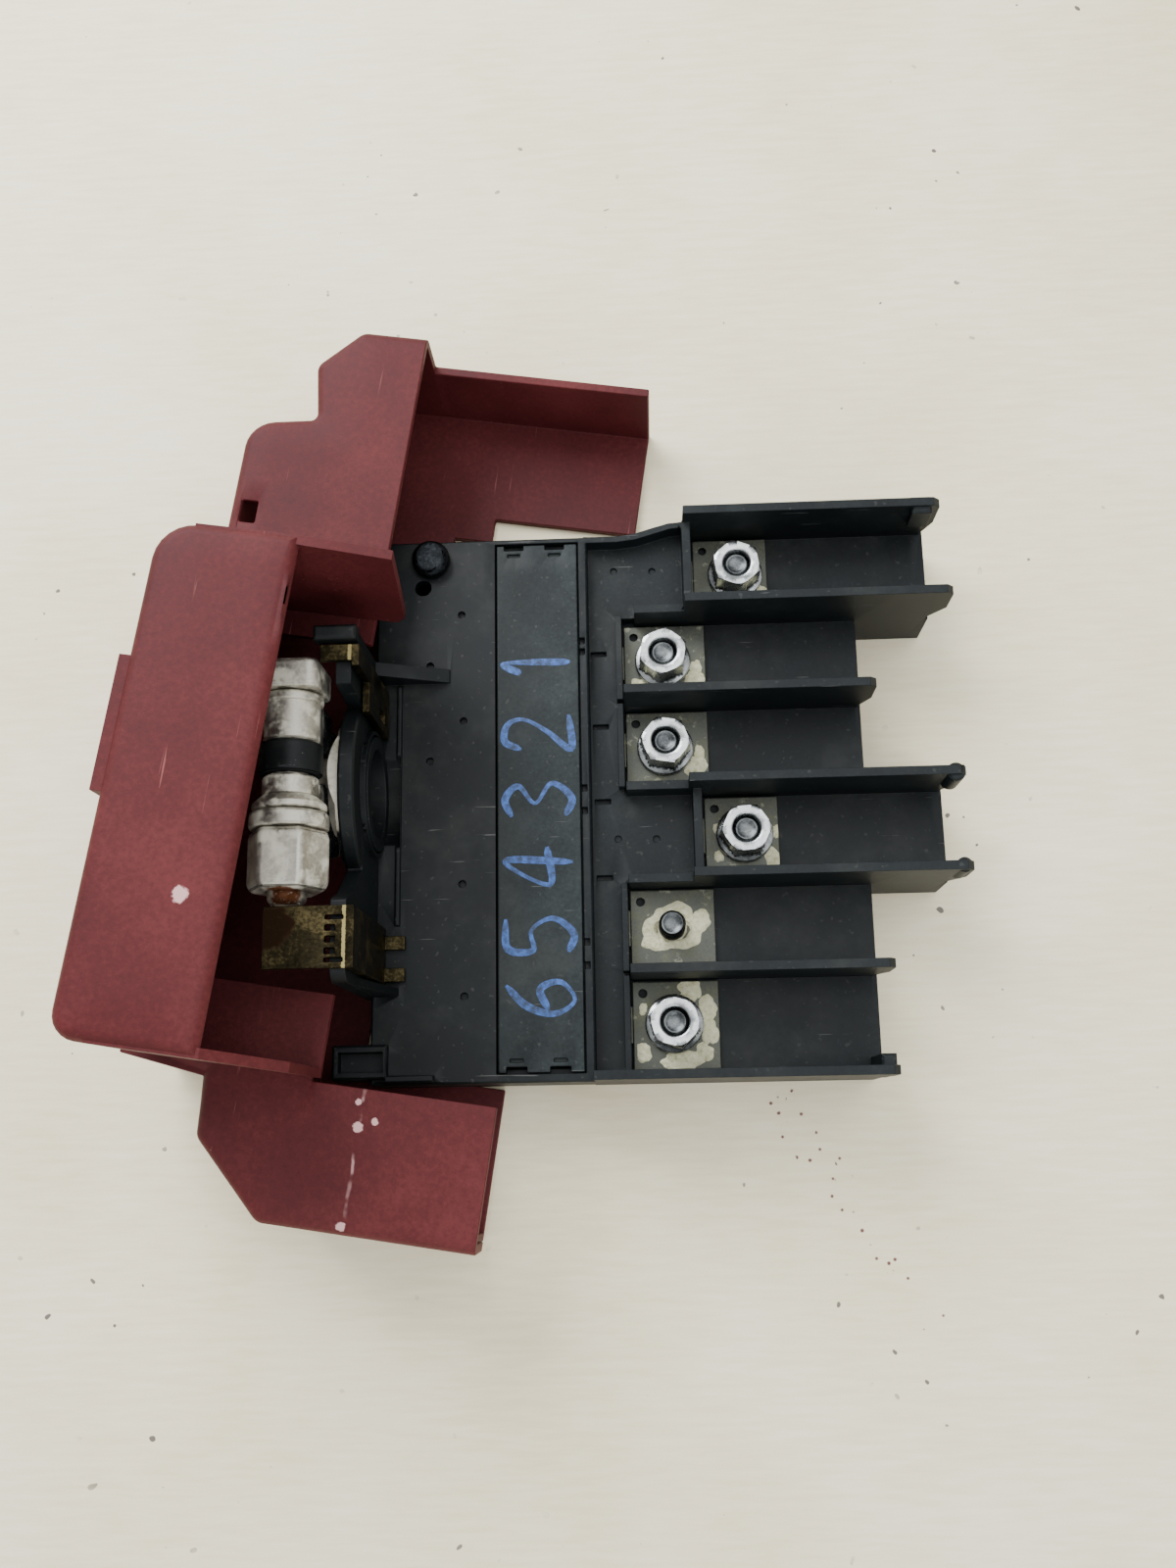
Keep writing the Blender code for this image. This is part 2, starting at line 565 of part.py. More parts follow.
def rear_cover():
    """Hood behind the base: back sheet, rim walls, and a front sheet over its two wings."""
    outline = rounded(HOOD_OUTLINE, HOOD_RADII)
    hood = prism(outline, 0.0, HOOD_TOP, soft=SOFT_EDGE)
    inner = [(40.0, 143.1), (-90.6, 143.1), (-98.6, 134.6), (-96.0, 120.2), (-104.6, 118.6), (-111.8, 112.2),
             (-111.8, -20.4), (-93.1, -24.2), (-92.1, -38.3), (-77.8, -52.0), (40.0, -52.0)]
    cut(hood, prism(inner, SHELL, HOOD_TOP - SHELL))
    cut(hood, box((-111.8, -20.4, 10.0), (-60.0, 69.5, 60.0)))
    cut(hood, box((-76.0, 60.0, SHELL), (0.0, 143.1, 60.0)), box((-76.0, 140.0, 24.0), (0.0, 160.0, 60.0)))
    cut(hood, box((-72.0, -24.8, SHELL), (0.0, 60.0, 60.0)))
    cut(hood, box((-33.4, -70.0, -1.0), (0.0, 0.0, 60.0)), box((-36.0, -70.0, -1.0), (0.0, 0.0, 25.0)))
    join(hood, prism([(-113.4, -24.5), (-113.4, -21.2), (-93.6, -24.0), (-93.6, -27.0)], 0.6, 36.6))
    cut(hood, box((-111.0, 94.6, 30.5), (-107.4, 99.8, 50.0)))
    for low, high in LID_KNUCKLES:
        cut(hood, rod((PIN_X, PIN_Z), KNUCKLE_R + 0.4, low - 0.5, high + 0.5, "y", 28))
    for low, high in HOOD_KNUCKLES:
        join(hood, knuckle(low, high, True))
    return cut(hood, rod((PIN_X, PIN_Z), PIN_R + 0.3, -30.0, 80.0, "y", 20))


def knuckle(low, high, on_hood):
    """One barrel of the lid hinge, with the web that ties it to its cover."""
    barrel = rod((PIN_X, PIN_Z), KNUCKLE_R, low, high, "y", 28)
    if on_hood:
        return join(barrel, box((PIN_X - 0.6, low, 33.5), (-112.3, high, 37.7)))
    return join(barrel, box((PIN_X - 0.2, low, PIN_Z + 0.9), (-111.0, high, PIN_Z + 3.0)))


def front_cover():
    """Lid standing over the clamp: front sheet, left wall, two end walls."""
    outline = rounded([(-83.5, 77.0), (-112.0, 77.0), (-112.0, -24.0), (-83.5, -24.0)], (0, 8, 5, 0))
    lid = prism(outline, 41.5, LID_Z[1], soft=SOFT_EDGE)
    inner = rounded([(-40.0, 75.0), (-110.0, 75.0), (-110.0, -22.0), (-40.0, -22.0)], (0, 6, 3, 0))
    cut(lid, prism(inner, 30.0, LID_Z[1] - SHELL))
    join(lid, prism([(-104.5, LID_Z[0]), (-71.0, LID_Z[0]), (-68.8, 42.0), (-65.6, 76.5), (-84.0, 79.0), (-104.5, 79.0)],
                    75.0, 77.0, "y"))
    join(lid, prism([(-105.0, LID_Z[0]), (-70.0, LID_Z[0]), (-70.0, 66.0), (-83.5, 79.0), (-105.0, 79.0)],
                    -24.0, -22.0, "y"))
    join(lid, box((-108.0, -23.8, LID_Z[0]), (-70.0, -7.0, LID_Z[0] + SHELL)))
    join(lid, box((-114.0, 22.0, 73.0), (-111.0, 49.0, 78.6)))
    for low, high in LID_KNUCKLES:
        join(lid, knuckle(low, high, False))
    return cut(lid, rod((PIN_X, PIN_Z), PIN_R + 0.3, -30.0, 80.0, "y", 20))


def lid_hinge_pin():
    return rod((PIN_X, PIN_Z), PIN_R, -13.0, 70.0, "y", 20, top=0.2, bottom=0.2)


def joint_point(x, y, z):
    """A point of the turned covers in base coordinates."""
    return tuple(onto_base([(x, y, z)])[0])


# ---- assembly -----------------------------------------------------------------------------

for item in list(bpy.data.objects):
    bpy.data.objects.remove(item, do_unlink=True)

finish(base_housing(), "base_housing", BLACK)
strip_home = (sum(TROUGH_X) / 2, sum(TROUGH_Y) / 2, STRIP_Z[0])
finish(fuse_cover_strip(), "fuse_cover_strip", BLACK, strip_home)
finish(busbar(), "busbar", COPPER)
for number in range(6):
    finish(fuse_link(number), f"fuse_link_{number + 1}", COPPER)
    finish(terminal_plate(number), f"terminal_plate_{number + 1}", TIN)
    finish(stud(number), f"stud_{number + 1}", STEEL)
for number in NUT_STUDS:
    finish(flange_nut(number - 1), f"flange_nut_{number}", ZINC)
finish(clamp_ring(), "clamp_ring", LEAD)
finish(clamp_bolt(), "clamp_bolt", LEAD)
finish(clamp_nut(), "clamp_nut", LEAD)
finish(bolt_ring(8.2, -11.8, -8.5), "clamp_washer", LEAD)
finish(bolt_ring(6.6, -0.35, 6.25), "clamp_spacer", BLACK)
finish(post_washer(), "post_washer", LEAD)
finish(post_ring(12.6, 9.8, -68.4, -63.4), "post_grommet", BLACK)
finish(brass_strap_lower(), "brass_strap_lower", BRASS)
finish(brass_strap_upper(), "brass_strap_upper", BRASS)
finish(strap_cap(), "strap_cap", BLACK)
finish(corner_rivet(), "corner_rivet", STEEL)
finish(rear_cover(), "rear_cover", RED, joint_point(-113.8, 48.0, 0.0), turned=True)
finish(front_cover(), "front_cover", RED, joint_point(PIN_X, 28.0, PIN_Z), turned=True)
finish(lid_hinge_pin(), "lid_hinge_pin", STEEL, joint_point(PIN_X, 28.0, PIN_Z), turned=True)
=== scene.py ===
# %% [markdown]
# # A battery-terminal fuse box with its red covers open
# The box bolts onto a car battery's post and feeds six cables through six fusible links. Its hard
# parts were drawn as CAD and come in as a fixed frame. This lesson gives them their looks: softened
# moulding edges, rolled threads, flange nuts, corrosion, marker strokes, dust and wear.

# %% Load the frame
import functools
import math

import bmesh
import bpy
import numpy as np
from mathutils import Matrix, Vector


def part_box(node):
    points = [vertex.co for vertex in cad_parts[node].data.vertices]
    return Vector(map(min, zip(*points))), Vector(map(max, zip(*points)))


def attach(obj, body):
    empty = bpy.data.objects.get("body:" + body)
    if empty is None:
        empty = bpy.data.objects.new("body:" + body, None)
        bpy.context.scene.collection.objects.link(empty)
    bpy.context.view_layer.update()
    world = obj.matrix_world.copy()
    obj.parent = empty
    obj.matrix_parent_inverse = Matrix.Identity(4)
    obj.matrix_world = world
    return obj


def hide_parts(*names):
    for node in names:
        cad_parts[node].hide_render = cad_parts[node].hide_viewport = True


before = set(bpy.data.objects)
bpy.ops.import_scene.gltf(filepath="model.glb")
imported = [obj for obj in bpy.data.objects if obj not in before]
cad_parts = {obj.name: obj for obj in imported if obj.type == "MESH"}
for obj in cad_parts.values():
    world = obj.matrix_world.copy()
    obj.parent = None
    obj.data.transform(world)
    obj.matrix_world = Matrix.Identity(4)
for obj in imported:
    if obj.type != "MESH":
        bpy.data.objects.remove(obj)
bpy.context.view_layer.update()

MM = 0.001

# %% [markdown]
# ## Camera
# The box lies on a table and is seen almost straight from above, a little from the near side. A
# camera can be turned by three angles, but angles are hard to read back. Here its own right, down
# and forward directions are given, and the matrix is built from them. Blender's camera looks along
# its minus Z with plus Y up, so two of them change sign.

# %% Camera
CAMERA_PLACE = np.array([-5.03, -73.68, 342.29]) * MM
RIGHT = np.array([0.998877, -0.017435, -0.044052])
DOWN = np.array([-0.027201, -0.972354, -0.231921])
FORWARD = np.array([-0.038791, 0.232859, -0.971737])
lens = bpy.data.cameras.new("camera")
lens.lens = 33.75
lens.sensor_width = 36.0
lens.clip_start = 0.01
camera = bpy.data.objects.new("camera", lens)
bpy.context.scene.collection.objects.link(camera)
stand = np.eye(4)
stand[:3, :3] = np.stack([RIGHT, -DOWN, -FORWARD], 1)
stand[:3, 3] = CAMERA_PLACE
camera.matrix_world = Matrix(stand.tolist())
bpy.context.scene.camera = camera
print("camera height in mm:", CAMERA_PLACE[2] / MM)

# %% [markdown]
# ## Colour
# Paint charts and screens give colours in sRGB, while Blender mixes light in linear values. Typing
# linear values by hand is hard to read, so one function turns a hex colour linear.

# %% Colour
def linear(hex_colour):
    """sRGB hex to linear: c/12.92 below 0.04045, else ((c + 0.055)/1.055) to the power 2.4."""
    c = np.array([int(hex_colour[i:i + 2], 16) for i in (1, 3, 5)]) / 255.0
    c = np.where(c <= 0.04045, c / 12.92, ((c + 0.055) / 1.055) ** 2.4)
    return (*[float(v) for v in c], 1.0)


print("a mid grey, #808080, is", round(linear("#808080")[0], 3), "of full light")

# %% [markdown]
# ## Nodes
# A material is a tree of nodes. Each could be made in four or five lines, which hides the idea in
# the bookkeeping. One function adds a node of any kind, sets it and wires it, and every material
# below is made of calls to it. A pattern's scale always comes from a size in millimetres.

# %% One function for every node
def add_node(tree, kind, *by_place, stops=(), **by_name):
    """Add a node and return it. Its inputs are given by place, or by their capital names with _ for a
    space: a number, a hex colour, a socket, or a node, which stands for its first output. Names in
    small letters are the node's own settings. Stops are a colour ramp's (position, colour) pairs."""
    node = tree.nodes.new("ShaderNode" + kind)
    sockets = {socket.identifier.replace(" ", "_"): socket for socket in node.inputs}
    inputs = list(zip(node.inputs, by_place))
    for name, value in by_name.items():
        if name in sockets:
            inputs.append((sockets[name], value))
        else:
            setattr(node, name, value)
    for socket, value in inputs:
        if isinstance(value, bpy.types.Node):
            value = value.outputs[0]
        if isinstance(value, bpy.types.NodeSocket):
            tree.links.new(value, socket)
        else:
            socket.default_value = linear(value) if isinstance(value, str) else value
    for _ in stops[2:]:
        node.color_ramp.elements.new(0.5)
    for place, (position, colour) in enumerate(stops):
        node.color_ramp.elements[place].position = position
        node.color_ramp.elements[place].color = linear(colour)
    return node


def new_material(name):
    """An empty material, the node function bound to its tree, and the Object coordinates."""
    mat = bpy.data.materials.new(name)
    mat.use_nodes = True
    mat.node_tree.nodes.clear()
    add = functools.partial(add_node, mat.node_tree)
    return mat, add, add("TexCoord").outputs["Object"]


def lumps(size_mm):
    """The texture scale that makes lumps about size_mm across."""
    return 1.0 / (size_mm * MM)


# makes a Map Range ease from 0 to 1 between its two limits, and hold still outside them
STEP = {"interpolation_type": "SMOOTHSTEP"}
print("a noise of 1 mm lumps has scale", lumps(1.0))

# %% [markdown]
# ## The table's laminate
# The table is pale wood-print laminate: paper under clear resin, so it is matte and even, with faint
# fibres across it. An image would do, but two noises, one stretched, need no file. Specks of dirt
# lie in patches. Rust crumbs fell from the box along a slanting trail at its near edge, made by
# turning the coordinates and keeping only the crumbs close to the turned axis.

# %% Laminate
def table_laminate():
    """Warm white resin: a dull, soft sheen that shows the fibres only as a change of tone."""
    mat, add, spot = new_material("pale_laminate_table")
    stretched = add("Mapping", Vector=spot, Scale=(0.12, 1.0, 1.0))
    fibre = add("TexNoise", Vector=stretched, Scale=lumps(1.6), Detail=5.0, Roughness=0.6)
    cloud = add("TexNoise", Vector=spot, Scale=lumps(60.0), Detail=2.0, Roughness=0.55)
    tone = add("Math", add("Math", fibre, cloud, operation="ADD"), 0.5, operation="MULTIPLY")
    colour = add("ValToRGB", tone, stops=((0.36, "#ecdfb8"), (0.5, "#f5e9c6"), (0.66, "#fbf2d4")))
    dirt = add("TexNoise", Vector=spot, Scale=lumps(3.2), Detail=1.0, Roughness=0.4)
    dirt = add("MapRange", dirt, 0.745, 0.765, **STEP)
    patch = add("TexNoise", Vector=spot, Scale=lumps(45.0), Detail=1.0, Roughness=0.55)
    patch = add("MapRange", patch, 0.5, 0.62, **STEP)
    dirty = add("Math", dirt, patch, operation="MULTIPLY")
    colour = add("Mix", Factor_Float=dirty, A_Color=colour, B_Color="#6f675c", data_type="RGBA").outputs[2]
    # the trail's own axes: along it, and across it
    shifted = add("Mapping", Vector=spot, Location=(-22 * MM, 66 * MM, 0.0))
    along, across, _ = add("SeparateXYZ", add("Mapping", Vector=shifted, Rotation=(0.0, 0.0, 0.98))).outputs
    close = add("MapRange", add("Math", across, operation="ABSOLUTE"), 12 * MM, 1.5 * MM, **STEP)
    begun = add("MapRange", along, -2 * MM, 1 * MM, **STEP)
    ended = add("MapRange", along, 110 * MM, 30 * MM, **STEP)
    trail = add("Math", add("Math", close, begun, operation="MULTIPLY"), ended, operation="MULTIPLY")
    crumb = add("TexVoronoi", Vector=spot, Scale=lumps(2.4)).outputs["Distance"]
    crumb = add("MapRange", crumb, 0.22, 0.12, **STEP)
    chance = add("TexNoise", Vector=spot, Scale=lumps(2.6), Detail=1.0, Roughness=0.55)
    chance = add("Math", trail, 0.6, chance, operation="MULTIPLY_ADD")
    chance = add("MapRange", chance, 0.98, 1.02, **STEP)
    crumbs = add("Math", crumb, chance, operation="MULTIPLY")
    colour = add("Mix", Factor_Float=crumbs, A_Color=colour, B_Color="#6b4238", data_type="RGBA").outputs[2]
    add("OutputMaterial", add("BsdfPrincipled", Base_Color=colour, Roughness=0.55))
    return mat


laminate = table_laminate()
print("laminate nodes:", len(laminate.node_tree.nodes))

# %% [markdown]
# ## The table top
# The table only has to catch the shadows and fill the view. A thick board would do the same, so it is
# one big square, a tenth of a millimetre under the box: two faces in one plane would flicker.

# %% Table top
FLOOR_HALF = 3.0
FLOOR_DROP = 0.0001
floor_mesh = bpy.data.meshes.new("table_top")
corners = [(x * FLOOR_HALF, y * FLOOR_HALF, -FLOOR_DROP) for x, y in ((-1, -1), (1, -1), (1, 1), (-1, 1))]
floor_mesh.from_pydata(corners, [], [(0, 1, 2, 3)])
floor_mesh.materials.append(laminate)
floor = bpy.data.objects.new("table_top", floor_mesh)
bpy.context.scene.collection.objects.link(floor)
print("the table is", 2 * FLOOR_HALF, "m wide")

# %% [markdown]
# ## Light
# The room gives soft daylight: a bright even surround, a window behind and to the left, and weaker
# light from above and from the near side. Square area lights keep the shadows' edges soft. Each one
# is turned by building its axes, so that its back points away from the box.

# %% Room and lamps
world = bpy.data.worlds.new("soft_room")
world.use_nodes = True
surround = world.node_tree.nodes["Background"]
surround.inputs["Color"].default_value = linear("#eff1f2")
surround.inputs["Strength"].default_value = 0.88
bpy.context.scene.world = world

# name, place in m, width in m, power in W
LAMPS = (("window", (-0.38, 0.54, 0.56), 0.55, 11.5),
         ("ceiling", (0.25, 0.1, 1.0), 0.8, 5.5),
         ("room_side", (0.10, -0.80, 0.62), 0.6, 4.2))
for name, spot, width, power in LAMPS:
    light = bpy.data.lights.new(name, "AREA")
    light.size = width
    light.energy = power
    light.color = linear("#f8fafd")[:3]
    away = np.array(spot) / np.linalg.norm(spot)
    side = np.cross([0.0, 1.0, 0.0], away)
    side /= np.linalg.norm(side)
    stand = np.eye(4)
    stand[:3, :3] = np.stack([side, np.cross(away, side), away], 1)
    stand[:3, 3] = spot
    lamp = bpy.data.objects.new(name, light)
    lamp.matrix_world = Matrix(stand.tolist())
    bpy.context.scene.collection.objects.link(lamp)
print("lights:", [lamp[0] for lamp in LAMPS])

# %% [markdown]
# ## Softening moulded and machined edges
# No moulded or stamped edge is perfectly sharp: it has a radius of 0.1 to 0.4 mm that catches a line
# of light. The CAD solids are faceted, so each is copied, its flat faces joined up again, and a Bevel
# modifier rounds what is left. The base's deck and walls are big flat faces full of holes, which
# would break into long slivers and shade badly. So they are first cut into tiles, along upright
# planes that keep clear of every corner.

# %% Cuts that miss every corner
# cuts lie only in gaps this wide between corners; tiles are about this wide
CLEAR_GAP = 1.1 * MM
TILE = 9 * MM


def clear_cuts(values):
    """The middle of each gap between sorted coordinates that is wider than CLEAR_GAP; a gap wider
    than a TILE takes several, evenly spaced."""
    values = np.unique(np.round(values, 5))
    cuts = []
    for low, high in zip(values[:-1], values[1:]):
        if high - low > CLEAR_GAP:
            count = max(1, round((high - low) / TILE))
            cuts += [low + (high - low) * (k + 0.5) / count for k in range(count)]
    return cuts


def cut_tiles(bm, turn):
    """Cut a mesh along two sets of upright planes, turned about Z, and mark the cuts as seams."""
    corners = np.array([v.co for v in bm.verts])
    cosine, sine = math.cos(turn), math.sin(turn)
    for way in (np.array([cosine, sine, 0.0]), np.array([-sine, cosine, 0.0])):
        for place in clear_cuts(corners @ way):
            cut = bmesh.ops.bisect_plane(bm, geom=bm.verts[:] + bm.edges[:] + bm.faces[:], dist=1e-7,
                                         plane_co=(place * way).tolist(), plane_no=way.tolist())["geom_cut"]
            for item in cut:
                if isinstance(item, bmesh.types.BMEdge):
                    item.seam = True


print("corners at 0, 2 and 30 mm leave room for cuts at",
      [round(cut / MM, 1) for cut in clear_cuts(np.array([0.0, 2.0, 30.0]) * MM)])

# %% [markdown]
# ## A copy with rounded edges
# The bevel could be set by hand on each edge. Here the angle decides: edges that turn by more than
# 35 degrees are rounded, and the rest are only shaded smooth. Working on a copy keeps the CAD
# untouched, and the copy takes its place in what is seen.

# %% Copies with soft edges
# edges that turn more than SHARP are rounded, faces that turn less than FLAT are joined, and an edge
# whose angle can't be measured counts as UNJOINED, sharper than any
SHARP = math.radians(35)
FLAT = math.radians(0.6)
UNJOINED = 3.2


def smooth_but_sharp(bm, limit):
    """Shade every face smooth, and keep as sharp the edges that turn by more than the limit."""
    for face in bm.faces:
        face.smooth = True
    for edge in bm.edges:
        if len(edge.link_faces) == 2:
            edge.smooth = edge.calc_face_angle(UNJOINED) < limit


def soften(node, body, mat, width_mm, segments=2, tiles=None):
    """Copy a CAD node, merge its triangles and round its sharp edges by width_mm. Tiles, where it is
    given, is the part's turn about Z, and its large faces are cut into tiles along it."""
    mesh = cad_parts[node].data.copy()
    bm = bmesh.new()
    bm.from_mesh(mesh)
    bmesh.ops.remove_doubles(bm, verts=bm.verts, dist=3e-6)
    if tiles is not None:
        cut_tiles(bm, tiles)
    bmesh.ops.dissolve_limit(bm, angle_limit=FLAT, verts=bm.verts, edges=bm.edges, delimit={"SEAM"})
    wide = [face for face in bm.faces if len(face.verts) > 5]
    bmesh.ops.triangulate(bm, faces=wide, ngon_method="BEAUTY")
    smooth_but_sharp(bm, SHARP)
    bm.to_mesh(mesh)
    bm.free()
    mesh.materials.clear()
    mesh.materials.append(mat)
    piece = bpy.data.objects.new(node + "_finished", mesh)
    bpy.context.scene.collection.objects.link(piece)
    edges = piece.modifiers.new("soft_edges", "BEVEL")
    edges.width = width_mm * MM
    edges.segments = segments
    edges.limit_method = "ANGLE"
    edges.angle_limit = SHARP
    edges.use_clamp_overlap = False
    edges.harden_normals = True
    edges.miter_outer = "MITER_ARC"
    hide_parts(node)
    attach(piece, body)
    return piece


print("edges sharper than", round(math.degrees(SHARP)), "degrees are rounded")

# %% [markdown]
# ## Where on a cover
# The two covers lie turned by 9 degrees from the base, so their wear is laid out in coordinates
# turned with them. Single marks need a place. One way is a painted image; here a mark is a distance
# from a point, with noise added so that its edge isn't a perfect circle.

# %% Turned coordinates and single marks
SKEW = math.radians(-9.0)
COVERS_ORIGIN_Y = -48.5 * MM


def turned_spot(add, spot):
    """Object coordinates turned square to the covers, and counted from the covers' own origin."""
    shifted = add("Mapping", Vector=spot, Location=(0.0, -COVERS_ORIGIN_Y, 0.0))
    return add("Mapping", Vector=shifted, Rotation=(0.0, 0.0, -SKEW))


def near(add, axes, centre, reach):
    """1 close to a point and 0 past the reach: the squared distance over the squared reach, plus
    noise, stepped at 1.4. Sizes are in mm; a None in the centre leaves that axis out."""
    spot = add("CombineXYZ", *axes)
    edge = add("TexNoise", Vector=spot, Scale=lumps(reach * 0.7), Detail=2.0, Roughness=0.55)
    total = add("Math", edge, 1.4, operation="MULTIPLY")
    for axis, at in zip(axes, centre):
        if at is not None:
            share = add("Math", axis, at * MM, operation="SUBTRACT")
            share = add("Math", share, reach * MM, operation="DIVIDE")
            total = add("Math", add("Math", share, 2.0, operation="POWER"), total, operation="ADD")
    return add("MapRange", total, 1.6, 1.2, **STEP)


print("covers turned by", round(math.degrees(SKEW), 1), "degrees")

# %% [markdown]
# ## Stress whitening
# The lower wing was bent once. Polypropylene turns white where it is stressed, so a broken pale line
# crosses the wing, with a few white chips beside it and one on the lid. A line is the set of places
# close to one X, so it is made from a distance too, and let wander a little with noise.

# %% White crease and chips
# centre and radius of each white chip, in the covers' turned millimetres
CHIPS = (((-61.6, -27.6, 38.0), 0.8), ((-60.9, -32.6, 38.0), 1.3), ((-57.6, -31.0, 38.0), 0.9),
         ((-61.0, -52.2, 38.0), 1.2), ((-92.4, 4.7, 80.0), 1.9))
CREASE_X = -60.6 * MM


def whitened(add, square, axes):
    """The crease = close to CREASE_X, on the lower wing, on its upper face, broken by noise; then the
    larger of it and each chip."""
    wander = add("TexNoise", Vector=square, Scale=lumps(9.0), Detail=3.0, Roughness=0.55)
    wander = add("Math", add("Math", wander, 0.5, operation="SUBTRACT"), 3.0 * MM, operation="MULTIPLY")
    off = add("Math", add("Math", axes[0], wander, operation="ADD"), CREASE_X, operation="SUBTRACT")
    line = add("MapRange", add("Math", off, operation="ABSOLUTE"), 0.55 * MM, 0.12 * MM, **STEP)
    wing = add("MapRange", axes[1], -24.0 * MM, -27.0 * MM, **STEP)
    upper_face = add("MapRange", axes[2], 35.0 * MM, 37.0 * MM, **STEP)
    gaps = add("TexNoise", Vector=square, Scale=lumps(5.5), Detail=2.0, Roughness=0.55)
    gaps = add("Math", add("MapRange", gaps, 0.48, 0.62, **STEP), 0.6, operation="MULTIPLY")
    white = add("Math", add("Math", line, wing, operation="MULTIPLY"),
                add("Math", gaps, upper_face, operation="MULTIPLY"), operation="MULTIPLY")
    for centre, radius in CHIPS:
        white = add("Math", white, near(add, axes, centre, radius), operation="MAXIMUM")
    return white


print("white chips:", len(CHIPS))

# %% [markdown]
# ## Red polypropylene covers
# The covers are injection-moulded polypropylene in dark red. The mould was spark-eroded, so the skin
# has a fine matte grain that scatters highlights. Handling rubs it paler on flat faces, in broad
# clouds, with a few long scratches: noise stretched far along one direction.

# %% Red polypropylene
def red_polypropylene():
    """A dark, slightly brown red with almost no shine; grain 0.55 mm, coarser than real, to show."""
    mat, add, spot = new_material("red_polypropylene_spark_grain")
    square = turned_spot(add, spot)
    handling = add("TexNoise", Vector=square, Scale=lumps(26.0), Detail=3.0, Roughness=0.6)
    mottled = add("TexNoise", Vector=square, Scale=lumps(1.1), Detail=3.0, Roughness=0.7)
    tone = add("Math", mottled, 0.45, operation="MULTIPLY")
    tone = add("Math", handling, 0.55, tone, operation="MULTIPLY_ADD")
    colour = add("ValToRGB", tone, stops=((0.34, "#441619"), (0.5, "#501c1e"), (0.66, "#5e2627")))
    white = whitened(add, square, add("SeparateXYZ", square).outputs[:])
    white = add("Math", white, 0.85, operation="MULTIPLY")
    colour = add("Mix", Factor_Float=white, A_Color=colour, B_Color="#d5aaa6", data_type="RGBA").outputs[2]
    streaks = add("Mapping", Vector=square, Rotation=(0.0, 0.0, 0.5), Scale=(1.0, 0.04, 1.0))
    scratch = add("TexNoise", Vector=streaks, Scale=lumps(0.9), Detail=2.0, Roughness=0.5)
    scratch = add("MapRange", scratch, 0.70, 0.74, **STEP)
    rare = add("TexNoise", Vector=square, Scale=lumps(20.0), Detail=1.0, Roughness=0.55)
    seen = add("Math", scratch, add("MapRange", rare, 0.52, 0.66, **STEP), operation="MULTIPLY")
    seen = add("Math", seen, 0.45, operation="MULTIPLY")
    colour = add("Mix", Factor_Float=seen, A_Color=colour, B_Color="#a8645f", data_type="RGBA").outputs[2]
    grain = add("TexNoise", Vector=spot, Scale=lumps(0.55), Detail=2.0, Roughness=0.6)
    skin = add("Math", scratch, -0.2, grain, operation="MULTIPLY_ADD")
    shader = add("BsdfPrincipled", Base_Color=colour, Specular_IOR_Level=0.2,
                 Roughness=add("MapRange", tone, To_Min=0.5, To_Max=0.7),
                 Normal=add("Bump", Height=skin, Distance=0.05 * MM, Strength=0.6))
    add("OutputMaterial", shader)
    return mat


red_cover = red_polypropylene()
covers = [soften("rear_cover", "hood", red_cover, 0.3, tiles=SKEW),
          soften("front_cover", "lid", red_cover, 0.1, tiles=SKEW)]
print("covers:", {piece.name: len(piece.data.polygons) for piece in covers})

# %% [markdown]
# ## Black glass-filled nylon
# Glass-filled nylon comes out of the mould black with a grey bloom where fibres reach the skin. Years
# under a bonnet add pale dust that settles on level faces, and fine scuffs; the black is also made
# darker towards the battery post. Dust could be a second layer of mesh, but the face's own normal
# already says what is level.

# %% Black nylon
# the black darkens between these two X places, towards the post
POST_SIDE_X = (-12 * MM, -44 * MM)


